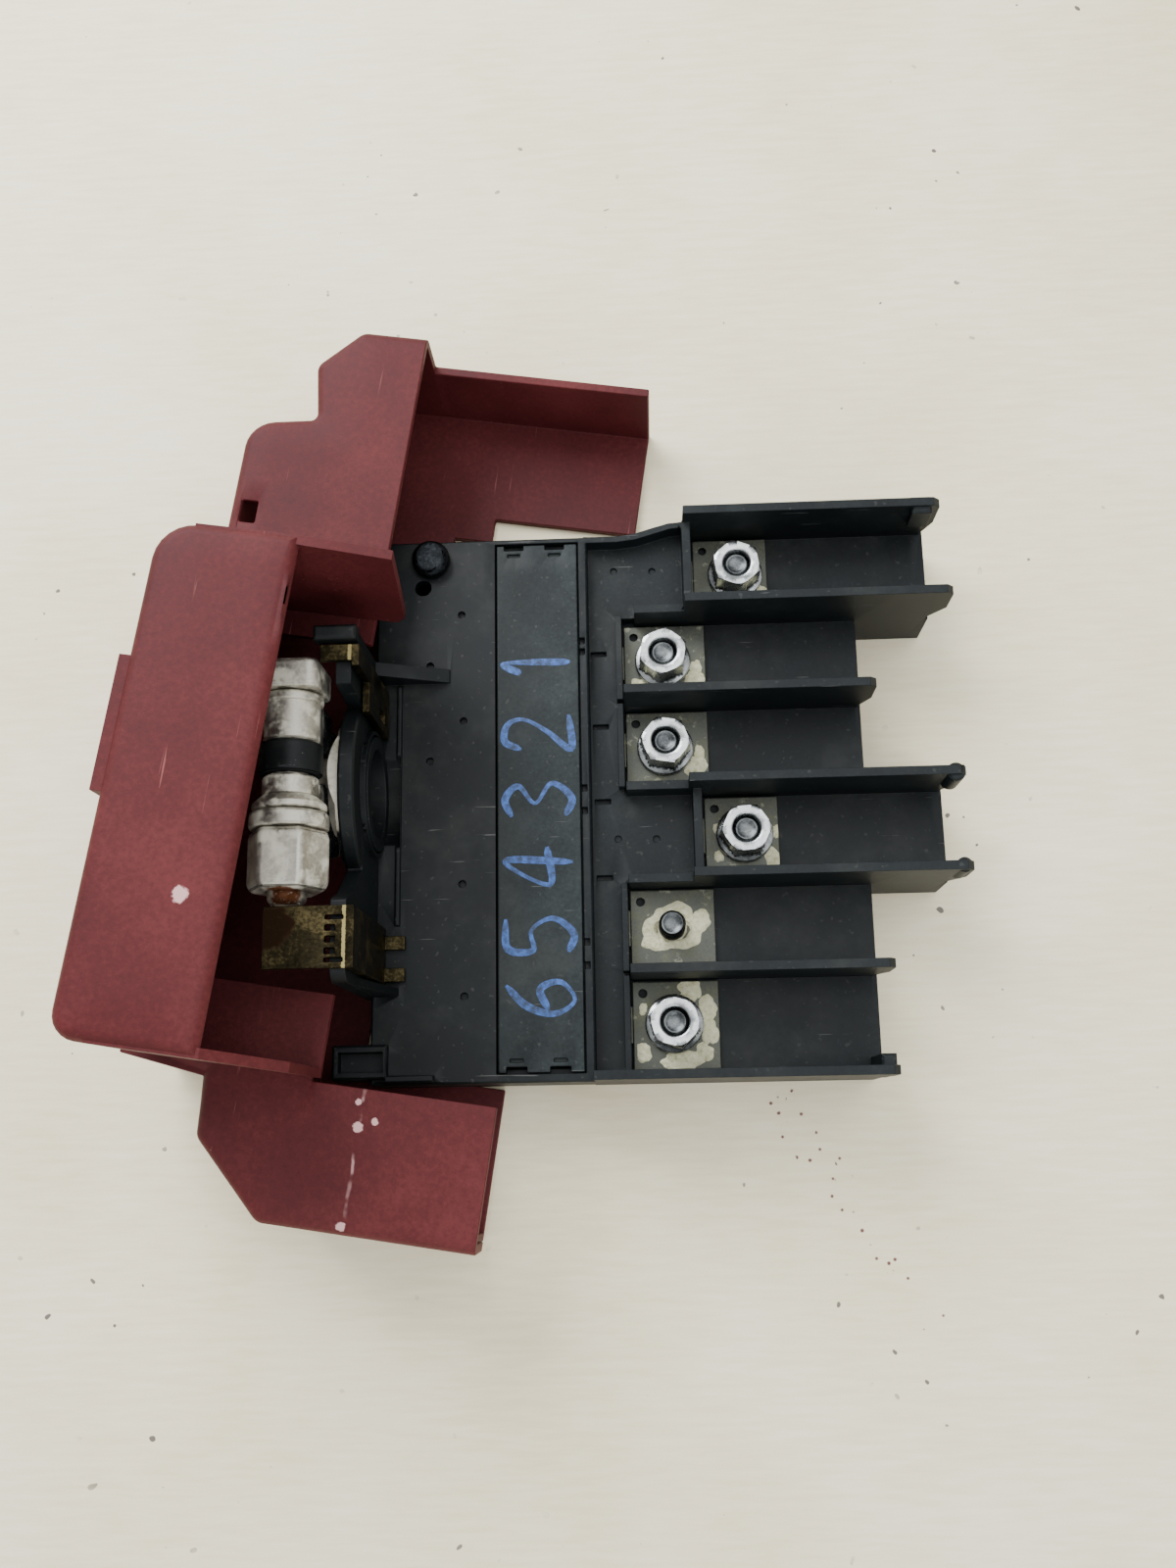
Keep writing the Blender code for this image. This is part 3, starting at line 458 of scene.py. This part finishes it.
def black_nylon(name, dark, mid, pale, dust):
    """Soft black with a low, uneven sheen; fibre mottling drawn at 0.8 mm so that it shows."""
    mat, add, spot = new_material(name)
    cloud = add("TexNoise", Vector=spot, Scale=lumps(14.0), Detail=4.0, Roughness=0.65)
    fibre = add("TexNoise", Vector=spot, Scale=lumps(0.8), Detail=3.0, Roughness=0.7)
    tone = add("Math", add("Math", cloud, fibre, operation="ADD"), 0.5, operation="MULTIPLY")
    colour = add("ValToRGB", tone, stops=((0.36, dark), (0.5, mid), (0.68, pale)))
    # the black is made darker towards the post side, between the two POST_SIDE_X places
    darker_to_post = add("MapRange", add("SeparateXYZ", spot), *POST_SIDE_X, **STEP)
    darker_to_post = add("Math", darker_to_post, 0.6, operation="MULTIPLY")
    colour = add("Mix", Factor_Float=darker_to_post, A_Color=colour, B_Color="#06090a", data_type="RGBA").outputs[2]
    facing = add("SeparateXYZ", add("NewGeometry").outputs["Normal"]).outputs[2]
    level = add("MapRange", facing, 0.6, 0.95, **STEP)
    speck = add("TexNoise", Vector=spot, Scale=lumps(1.3), Detail=2.0, Roughness=0.5)
    speck = add("Math", add("MapRange", speck, 0.66, 0.72, **STEP), 0.55, operation="MULTIPLY")
    film = add("TexNoise", Vector=spot, Scale=lumps(22.0), Detail=4.0, Roughness=0.7)
    film = add("Math", add("MapRange", film, 0.45, 0.75, **STEP), 0.35, operation="MULTIPLY")
    dusty = add("Math", level, add("Math", speck, film, operation="MAXIMUM"), operation="MULTIPLY")
    dusty = add("Math", dusty, dust, operation="MULTIPLY")
    colour = add("Mix", Factor_Float=dusty, A_Color=colour, B_Color="#8b8a82", data_type="RGBA").outputs[2]
    streaks = add("Mapping", Vector=spot, Scale=(0.05, 1.0, 1.0))
    scuff = add("TexNoise", Vector=streaks, Scale=lumps(0.7), Detail=2.0, Roughness=0.55)
    scuff = add("MapRange", scuff, 0.71, 0.75, **STEP)
    faint = add("Math", scuff, 0.18, operation="MULTIPLY")
    colour = add("Mix", Factor_Float=faint, A_Color=colour, B_Color="#9a9a96", data_type="RGBA").outputs[2]
    skin = add("Math", fibre, 0.6, add("Math", scuff, -0.2, operation="MULTIPLY"), operation="MULTIPLY_ADD")
    shader = add("BsdfPrincipled", Base_Color=colour, Specular_IOR_Level=0.22,
                 Roughness=add("MapRange", tone, To_Min=0.38, To_Max=0.62),
                 Normal=add("Bump", Height=skin, Distance=0.05 * MM, Strength=0.6))
    add("OutputMaterial", shader)
    return mat


nylon = black_nylon("black_glass_filled_nylon", "#080c0f", "#0e1416", "#181f21", 0.14)
strip_nylon = black_nylon("black_nylon_strip", "#12181a", "#1f2728", "#2d3637", 0.14)
grommet_nylon = black_nylon("black_moulded_grommet", "#0d1012", "#14191b", "#1e2427", 0.12)
mouldings = [soften("base_housing", "base", nylon, 0.15, tiles=0.0),
             soften("fuse_cover_strip", "strip", strip_nylon, 0.2, tiles=0.0),
             soften("strap_cap", "base", nylon, 0.3),
             soften("post_grommet", "base", grommet_nylon, 0.3),
             soften("clamp_spacer", "base", grommet_nylon, 0.3)]
print("black mouldings:", [piece.name for piece in mouldings])

# %% [markdown]
# ## Metals
# Five metals show: bright zinc on the nuts, rolled steel studs, dull tin on the plates and the clamp,
# tarnished brass straps, and copper under the strip. Each could have its own recipe, but they differ
# only in colour, roughness and what has grown on them, so one function makes them all. An oxide bloom
# isn't metal, so it lowers the metallic value where it lies.

# %% One recipe for worn metal
TONES = (0.34, 0.5, 0.66)


def worn_metal(name, dark, mid, pale, rough, grain_mm, lump_mm, relief_mm, oxide=None, share=0.0, stains_and_painted_light=()):
    """Colours run with the tone, and roughness from the first of rough to the second. Share moves the
    oxide's threshold down. Stains and painted light are (centre in mm, reach in mm, colour): real stains,
    and painted shade and painted highlights laid on as colour."""
    mat, add, spot = new_material(name)
    cloud = add("TexNoise", Vector=spot, Scale=lumps(lump_mm), Detail=4.0, Roughness=0.6)
    fine = add("TexNoise", Vector=spot, Scale=lumps(grain_mm), Detail=3.0, Roughness=0.6)
    tone = add("Math", cloud, 0.6, add("Math", fine, 0.4, operation="MULTIPLY"), operation="MULTIPLY_ADD")
    colour = add("ValToRGB", tone, stops=tuple(zip(TONES, (dark, mid, pale))))
    coarse = add("MapRange", tone, 0.35, 0.65, *rough)
    metallic = 1.0
    if oxide:
        bloom = add("TexNoise", Vector=spot, Scale=lumps(lump_mm * 0.7), Detail=5.0, Roughness=0.7)
        bloom = add("MapRange", bloom, 0.62 - share, 0.70 - share * 0.5, **STEP)
        colour = add("Mix", Factor_Float=bloom, A_Color=colour, B_Color=oxide, data_type="RGBA").outputs[2]
        metallic = add("Math", bloom, -0.85, 1.0, operation="MULTIPLY_ADD")
        coarse = add("Math", coarse, add("Math", bloom, 0.8, operation="MULTIPLY"), operation="MAXIMUM")
    axes = add("SeparateXYZ", spot).outputs[:]
    # each mark is colour laid round a point: real stains, and also painted shade and painted highlights
    for centre, reach, tint in stains_and_painted_light:
        patch = add("Math", near(add, axes, centre, reach), add("MapRange", fine, 0.2, 0.42, **STEP),
                    operation="MULTIPLY")
        colour = add("Mix", Factor_Float=patch, A_Color=colour, B_Color=tint, data_type="RGBA").outputs[2]
        coarse = add("Math", coarse, add("Math", patch, 0.85, operation="MULTIPLY"), operation="MAXIMUM")
    shader = add("BsdfPrincipled", Base_Color=colour, Metallic=metallic, Roughness=coarse,
                 Normal=add("Bump", Height=tone, Distance=relief_mm * MM, Strength=0.7))
    add("OutputMaterial", shader)
    return mat


print("dark, mid and pale stand at tones", TONES)

# %% [markdown]
# ## What each metal looks like
# Zinc plate is the brightest, nearly a mirror with soft dents. Rolled steel is grey and darker in its
# thread. Tin dulls to grey with an olive bloom, and on the rough clamp casting to a warm white, with
# painted shade low on its ring and rust by its lower ear. Old brass under a hood goes almost black,
# and a painted highlight runs along its bend. Copper keeps its orange under the strip.

# %% Metals
# painted shade low on the ring, about 36 mm above the table, and rust by the lower ear
CLAMP_SHADE_AND_RUST = (((None, None, 36.0), 9.5, "#1a1c1e"), ((-78.0, -25.6, 54.0), 3.8, "#75492f"))
# rust on the lower strap's flat, and a painted highlight along its bend
BRASS_RUST_AND_HIGHLIGHT = (((-79.0, -33.0, 58.0), 5.0, "#36271b"), ((-64.8, None, 58.0), 0.42, "#b9ad7c"))
zinc = worn_metal("bright_zinc_plate", "#9da0a1", "#b4b7b7", "#cfd2d1", (0.2, 0.32), 1.5, 6.0, 0.004)
steel = worn_metal("rolled_steel_stud", "#3c3f41", "#585b5c", "#7b7e7e", (0.25, 0.45), 0.4, 3.0, 0.02)
tin = worn_metal("dull_tin_plate", "#484a45", "#585a53", "#70715f", (0.42, 0.66), 0.5, 4.5, 0.03,
                 "#8f8f7c", 0.04)
# the clamp's marks: painted shade on its ring, and real rust by the lower ear
cast_tin = worn_metal("tinned_clamp_casting", "#a8a59b", "#c4bfb2", "#ded8ca", (0.42, 0.68), 0.7, 6.0, 0.08,
                      "#d5d1bf", 0.18, CLAMP_SHADE_AND_RUST)
# the brass's marks: rust on the lower strap, and a painted highlight along its bend
brass = worn_metal("tarnished_brass", "#17150f", "#2b2619", "#5b5136", (0.32, 0.55), 0.6, 6.0, 0.03,
                   stains_and_painted_light=BRASS_RUST_AND_HIGHLIGHT)
copper = worn_metal("stamped_copper", "#6b3a24", "#9a5a3a", "#b87550", (0.35, 0.55), 0.5, 8.0, 0.03)
blackened = worn_metal("blackened_rivet_steel", "#0c0d0e", "#1b1d1f", "#34373a", (0.35, 0.55), 0.6, 3.0,
                       0.02)
print("metals:", [mat.name for mat in (zinc, steel, tin, cast_tin, brass, copper, blackened)])

# %% [markdown]
# ## Plates, straps and clamp
# These were stamped, bent or cast, and the CAD already has their shapes. What is missing is the
# rounded edge: thin on the stamped plates and straps, and thick on the clamp's worn nut and bolt.

# %% Plates, straps and clamp
for number in range(1, 7):
    soften(f"terminal_plate_{number}", "base", tin, 0.12)
    soften(f"fuse_link_{number}", "base", copper, 0.1)
soften("busbar", "base", copper, 0.2)
soften("brass_strap_lower", "base", brass, 0.2, tiles=0.0)
soften("brass_strap_upper", "base", brass, 0.2, tiles=0.0)
CLAMP_EDGES = {"clamp_ring": 0.2, "clamp_washer": 0.5, "clamp_bolt": 0.5, "clamp_nut": 0.9}
for node, width_mm in CLAMP_EDGES.items():
    soften(node, "base", cast_tin, width_mm, 3)
soften("post_washer", "base", cast_tin, 0.2)
soften("corner_rivet", "base", blackened, 0.4)
soften("lid_hinge_pin", "hood", steel, 0.1)
print("clamp edges in mm:", CLAMP_EDGES)

# %% [markdown]
# ## Surfaces from grids
# Threads, nuts, crust and ink are new shapes. Each is a grid of points: rows run along it and columns
# go round or across it, all worked out at once as arrays. One function turns any such grid to quads,
# and merges the points where a row shrinks to a pole.

# %% A grid made a mesh
CREASE = math.radians(38)


def surface(name, points, body, mat, closed_u=True, closed_v=False):
    """Quad (i, j) joins grid points (i, j), (i, j+1), (i+1, j+1) and (i+1, j); closed_u joins the
    last column to the first, and closed_v the last row to the first. Points are in mm."""
    rows, columns = points.shape[:2]
    index = np.arange(rows * columns).reshape(rows, columns)
    here = index if closed_v else index[:-1]
    above = np.roll(index, -1, 0) if closed_v else index[1:]
    if closed_u:
        quads = np.stack([here, np.roll(here, -1, 1), np.roll(above, -1, 1), above], -1)
    else:
        quads = np.stack([here[:, :-1], here[:, 1:], above[:, 1:], above[:, :-1]], -1)
    mesh = bpy.data.meshes.new(name)
    mesh.from_pydata((points.reshape(-1, 3) * MM).tolist(), [], quads.reshape(-1, 4).tolist())
    bm = bmesh.new()
    bm.from_mesh(mesh)
    bmesh.ops.remove_doubles(bm, verts=bm.verts, dist=1e-6)
    bmesh.ops.recalc_face_normals(bm, faces=bm.faces)
    smooth_but_sharp(bm, CREASE)
    bm.to_mesh(mesh)
    bm.free()
    mesh.materials.append(mat)
    piece = bpy.data.objects.new(name, mesh)
    bpy.context.scene.collection.objects.link(piece)
    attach(piece, body)
    return piece


def ring(x, y, radius, angle, z):
    """One row of points round a vertical axis: x + r cos(angle), y + r sin(angle), at height z."""
    return np.stack(np.broadcast_arrays(x + radius * np.cos(angle), y + radius * np.sin(angle), z), -1)


def middle(node):
    """A node's middle in x and y, its foot and its top, in mm, from the frame."""
    low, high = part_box(node)
    return (low.x + high.x) / 2 / MM, (low.y + high.y) / 2 / MM, low.z / MM, high.z / MM


print("stud 1 stands at", [round(v, 2) for v in middle("stud_1")])

# %% [markdown]
# ## Studs
# The studs are rolled M6 threads, with a pitch of 1 mm. A thread could be a profile swept along a
# helix. As a surface it is simpler: a cylinder whose radius swings with a triangle wave of the turn
# minus the height climbed, which winds one helix up the shaft. The tip is a flat end with a
# rolled-over rim, and a wide flat head lies under the floor.

# %% Studs
STUD_COLUMNS = 36
THREAD_MEAN = 2.80
THREAD_SWING = 0.17
HEAD_TOP = 3.25
# (radius, height over the foot) of the head, and (share of the shaft's end radius, drop) of the tip
HEAD = ((0.0, 0.0), (5.4, 0.0), (5.6, 0.2), (5.6, 3.0), (5.4, HEAD_TOP), (3.0, HEAD_TOP))
TIP = ((0.93, 0.0), (0.8, 0.12), (0.68, 0.3), (0.3, 0.38), (0.0, 0.38))


def threaded_stud(number):
    """Radius = mean + swing * triangle(turn - height), less a rounding that starts 0.9 mm below the
    tip and grows with the 1.5th power of the height; the swing fades out there too."""
    x, y, foot, tip = middle(f"stud_{number}")
    angle = np.linspace(0, 2 * math.pi, STUD_COLUMNS, endpoint=False)
    z = np.concatenate([np.linspace(foot + 3.4, tip - 0.8, 96), np.linspace(tip - 0.6, tip, 6)])[:, None]
    wave = 1.0 - 4.0 * np.abs((angle / (2 * math.pi) - z) % 1.0 - 0.5)
    fade = np.clip((tip - 0.4 - z) / 0.6, 0, 1)
    rounding = 0.45 * (np.clip(z - (tip - 0.9), 0, None) / 0.9) ** 1.5
    shaft = THREAD_MEAN + THREAD_SWING * wave * fade - rounding
    rows = [ring(x, y, radius, angle, foot + height)[None] for radius, height in HEAD]
    rows.append(ring(x, y, shaft, angle, z))
    rows += [ring(x, y, shaft[-1] * share, angle, tip - drop)[None] for share, drop in TIP]
    piece = surface(f"threaded_stud_{number}", np.concatenate(rows), "base", steel)
    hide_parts(f"stud_{number}")
    return piece


print("faces of each stud:", [len(threaded_stud(number).data.polygons) for number in range(1, 7)])

# %% [markdown]
# ## Flange nuts
# Each nut is a cold-formed M6 flange nut: a hexagon on a round flange, its top corners cut to a cone.
# It could be three solids joined by booleans. As one surface, its radius at each height and angle is
# the larger of the flange and the cut hexagon, which gives the real curved chamfer by itself. The
# fifth nut is missing. The others stopped at different turns.

# %% Flange nuts
NUT_TURN = {1: 0.15, 2: 0.9, 3: 0.35, 4: 0.6, 6: 0.25}
NUT_COLUMNS = 192
# half of the 10 mm across its flats, kept just inside the CAD nut
HALF_FLATS = 4.98
NUT_TOP = 8.02
# heights of the sleeve's rows, close together where the flange and the chamfer turn
SLEEVE = np.array([0.9, 1.0, 1.12, 1.24, 1.36, 1.5, 7.4, 7.6, 7.7, 7.8, 7.9, 8.0])
# (height, radius) of the flange's rim below the sleeve, and of the bore, from the top down
RIM = ((0.0, 5.9), (0.0, 6.2), (0.15, 6.4), (0.75, 6.4))
BORE = ((NUT_TOP, 3.5), (7.9, 3.25), (7.6, 3.08), (0.4, 3.08), (0.0, 3.4))


def flange_nut(number):
    """Radius at each height = the larger of the flange's cone and the smaller of the hexagon and the
    chamfer's cone; the hexagon's radius is its half width / cos(angle from the middle of a flat)."""
    x, y, foot, top = middle(f"flange_nut_{number}")
    angle = np.linspace(0, 2 * math.pi, NUT_COLUMNS, endpoint=False)
    hexagon = HALF_FLATS / np.cos((angle + math.pi / 6) % (math.pi / 3) - math.pi / 6)
    chamfer = 5.12 + (8.0 - SLEEVE[:, None]) * 1.7
    flange = 6.3 - (SLEEVE[:, None] - 0.9) * 2.4
    sleeve = np.maximum(np.minimum(hexagon, chamfer), flange)
    profile = [*RIM, *zip(SLEEVE, sleeve), *BORE]
    rows = [ring(x, y, radius, angle + NUT_TURN[number], foot + height * (top - foot) / NUT_TOP)
            for height, radius in profile]
    piece = surface(f"zinc_flange_nut_{number}", np.array(rows), "base", zinc, closed_v=True)
    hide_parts(f"flange_nut_{number}")
    return piece


print("faces of each nut:", [len(flange_nut(number).data.polygons) for number in NUT_TURN])

# %% [markdown]
# ## Corrosion round the studs
# Damp and dissimilar metals grow a cream-white crust round the studs, dry and powdery. A stain in the
# plate's material would look flat from the side, so each patch is a low mound on a polar grid: its
# edge wanders with a sum of sines and its height falls to nothing at that edge.

# %% Crust
def crust_material():
    """Powdery salts: no shine at all, cream in the hollows and nearly white on the lumps."""
    mat, add, spot = new_material("cream_corrosion_crust")
    powder = add("TexNoise", Vector=spot, Scale=lumps(0.9), Detail=5.0, Roughness=0.75)
    colour = add("ValToRGB", powder, stops=((0.3, "#b0ad86"), (0.42, "#dcd9ae"), (0.62, "#f4f1cf")))
    relief = add("Bump", Height=powder, Distance=0.35 * MM, Strength=1.0)
    add("OutputMaterial", add("BsdfPrincipled", Base_Color=colour, Roughness=0.9, Normal=relief))
    return mat


crust = crust_material()
print("crust lumps in mm:", 0.9)

# %% [markdown]
# ## Where the crust grew
# It is thickest round the bare fifth stud, whose nut is gone, and creeps from the cable side of the
# others. One function makes every mound, and a seed fixes each one's random outline.

# %% Crust mounds
PLATE_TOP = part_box("terminal_plate_1")[1].z / MM
NUT_WIDE = (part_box("flange_nut_1")[1].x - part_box("flange_nut_1")[0].x) / MM
# stud, centre's offset from it, mean radius, stretch along x, height, seed
PATCHES = (
    (5, (0.3, 0.0), 5.7, 1.1, 0.8, 3), (5, (6.0, 1.2), 2.7, 1.0, 0.7, 8),
    (5, (-4.2, -3.2), 2.2, 1.1, 0.5, 9), (6, (7.2, 3.0), 3.0, 0.8, 0.6, 5),
    (6, (7.6, -1.8), 3.2, 0.6, 0.6, 6), (6, (3.6, 7.2), 2.6, 1.1, 0.4, 18),
    (6, (1.6, -8.0), 2.3, 2.2, 0.45, 12), (6, (-7.4, -6.0), 2.4, 0.9, 0.45, 14),
    (6, (6.4, -6.2), 2.2, 0.9, 0.4, 16), (6, (-6.8, 3.4), 1.4, 0.7, 0.3, 19),
    (1, (6.0, -5.2), 2.7, 0.9, 0.6, 21), (1, (-5.8, -5.4), 1.5, 1.0, 0.4, 23),
    (2, (7.2, -5.0), 3.1, 0.8, 0.6, 25), (2, (7.6, -1.6), 2.0, 0.7, 0.5, 26),
    (2, (-5.8, -5.6), 2.0, 0.9, 0.4, 27), (3, (7.0, -4.4), 2.7, 0.9, 0.7, 31),
    (3, (7.8, -1.2), 2.0, 0.6, 0.5, 30), (4, (6.2, -5.6), 2.6, 0.8, 0.5, 33),
    (4, (7.2, 0.6), 1.6, 0.7, 0.4, 34), (4, (-5.8, 1.4), 1.6, 0.8, 0.35, 35),
    (4, (-6.0, -4.8), 1.4, 0.8, 0.35, 36))
BARE_STUD_PATCH = 0


def mound(tag, number, offset, radius, stretch, height, seed):
    """Height = top * (1 - share^4) with lumps; edge radius = mean * (1 + wandering sines). The patch
    round the bare stud is a ring: inside about 0.6 of its radius it dips below the plate."""
    rng = np.random.default_rng(seed)
    x, y, _, _ = middle(f"stud_{number}")
    low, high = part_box(f"terminal_plate_{number}")
    angle = np.linspace(0, 2 * math.pi, 64, endpoint=False)
    waves = sum(rng.uniform(0.10, 0.26) / k ** 0.9 * np.sin(k * angle + rng.uniform(0, 6.3))
                for k in (2, 3, 4, 6, 9, 13))
    edge = radius * (1 + waves)
    share = np.linspace(0.0, 1.0, 14)[:, None]
    px = x + offset[0] + share * edge * np.cos(angle) * stretch
    py = y + offset[1] + share * edge * np.sin(angle)
    px = np.clip(px, high.x / MM - NUT_WIDE * 1.3, high.x / MM - 0.15)
    py = np.clip(py, low.y / MM + 0.15, high.y / MM - 0.15)
    bumps = sum(rng.uniform(0.1, 0.3) * np.sin(px * rng.uniform(1, 4) + py * rng.uniform(-4, 4)
                                               + rng.uniform(0, 6)) for _ in range(6))
    pz = PLATE_TOP - 0.05 + height * (1 - share ** 4) * (0.75 + 0.35 * bumps)
    if tag == BARE_STUD_PATCH:
        pz -= 0.9 * np.clip((0.62 - share) / 0.1, 0, 1) * height
    return surface(f"corrosion_{tag}", np.stack([px, py, pz], -1), "base", crust)


print("crust patches:", len([mound(tag, *patch) for tag, patch in enumerate(PATCHES)]))

# %% [markdown]
# ## Marker strokes
# Someone numbered the six circuits on the strip with a blue paint marker, which dries matte and
# patchy. Ink could be painted into the strip's material, but a shape keeps its edge crisp, so each
# stroke is a thin ribbon laid on the strip.

# %% Marker
def marker_material():
    """Dried blue paint: matte, darker where it pooled and paler where the strip shows through."""
    mat, add, spot = new_material("dry_blue_marker")
    pooled = add("TexNoise", Vector=spot, Scale=lumps(1.4), Detail=4.0, Roughness=0.7)
    colour = add("ValToRGB", pooled, stops=((0.34, "#1c2a3e"), (0.5, "#27457a"), (0.68, "#3760a6")))
    add("OutputMaterial", add("BsdfPrincipled", Base_Color=colour, Roughness=0.6))
    return mat


marker = marker_material()
STRIP_MIDDLE, _, _, STRIP_TOP = middle("fuse_cover_strip")
print("the strip's face lies at z =", round(STRIP_TOP, 2))

# %% [markdown]
# ## One pen stroke
# A hand draws curves through a few points, without corners. A Catmull-Rom spline does the same: it
# passes through every point given, so the points can be read straight off a digit's shape.

# %% A pen stroke
STROKE_WIDE = 1.7


def smooth_path(points, count=48):
    """Catmull-Rom through the points: each span is a cubic fixed by its four nearest points."""
    p = np.vstack([2 * points[0] - points[1], points, 2 * points[-1] - points[-2]])
    t = np.linspace(0, len(points) - 1 - 1e-6, count)
    k = t.astype(int)
    u = (t - k)[:, None]
    a, b, c, d = p[k], p[k + 1], p[k + 2], p[k + 3]
    square, cube = 2 * a - 5 * b + 4 * c - d, 3 * b - a - 3 * c + d
    return 0.5 * (2 * b + (c - a) * u + square * u ** 2 + cube * u ** 3)


def stroke(name, points):
    """Ribbon = path point plus or minus half the width along the path's left-hand normal; the width
    swings with a sine and narrows at both ends, and the ribbon is 0.03 mm higher along its middle."""
    path = smooth_path(points)
    ahead = np.gradient(path, axis=0)
    ahead /= np.linalg.norm(ahead, axis=1)[:, None]
    left = np.stack([-ahead[:, 1], ahead[:, 0]], 1)
    run = np.linspace(0, 1, len(path))
    ends = np.clip(np.minimum(run, 1 - run) * 14 + 0.45, 0, 1)
    half = STROKE_WIDE / 2 * (0.75 + 0.25 * np.sin(run * 9)) * ends
    across = np.linspace(-1, 1, 5)
    xy = path[:, None, :] + left[:, None, :] * half[:, None, None] * across[None, :, None]
    z = STRIP_TOP + 0.05 - 0.03 * across ** 2
    grid = np.concatenate([xy, np.repeat(z[None, :, None], len(path), 0)], -1)
    return surface(name, grid, "strip", marker, closed_u=False)


print("a stroke is", STROKE_WIDE, "mm wide")

# %% [markdown]
# ## Six digits
# Each circuit has its number, written sideways so that it reads with the battery post at the top. A
# digit is drawn in a unit square and then scaled, so all six share one height.

# %% Digits
DIGIT_WIDE, DIGIT_HIGH = 10.0, 15.0
DIGIT_HEAD_X = STRIP_MIDDLE - 7.6
DIGIT_PLACES = (31.5, 15.5, 0.0, -15.5, -30.5, -44.0)
# each digit's path in a unit square, from left to right and from foot to head
DIGITS = (((0.3, 0.75), (0.55, 1.0), (0.55, 0.0)),
          ((0.1, 0.75), (0.3, 1.0), (0.7, 0.95), (0.8, 0.7), (0.5, 0.35), (0.1, 0.0), (0.9, 0.03)),
          ((0.1, 0.9), (0.5, 1.0), (0.8, 0.8), (0.4, 0.55), (0.85, 0.3), (0.5, 0.0), (0.1, 0.1)),
          ((0.6, 0.0), (0.65, 1.0), (0.1, 0.35), (0.95, 0.38)),
          ((0.85, 1.0), (0.2, 0.97), (0.15, 0.6), (0.6, 0.62), (0.85, 0.3), (0.5, 0.0), (0.1, 0.08)),
          ((0.75, 1.0), (0.3, 0.7), (0.12, 0.3), (0.4, 0.0), (0.8, 0.2), (0.65, 0.5), (0.2, 0.38)))
for number, (place, shape) in enumerate(zip(DIGIT_PLACES, DIGITS), 1):
    right, up = np.array(shape).T
    x = DIGIT_HEAD_X + (1.0 - up) * DIGIT_HIGH
    y = place - DIGIT_WIDE / 2 + right * DIGIT_WIDE
    stroke(f"marker_{number}_0", np.stack([x, y], 1))
print("digits stand at y =", DIGIT_PLACES)
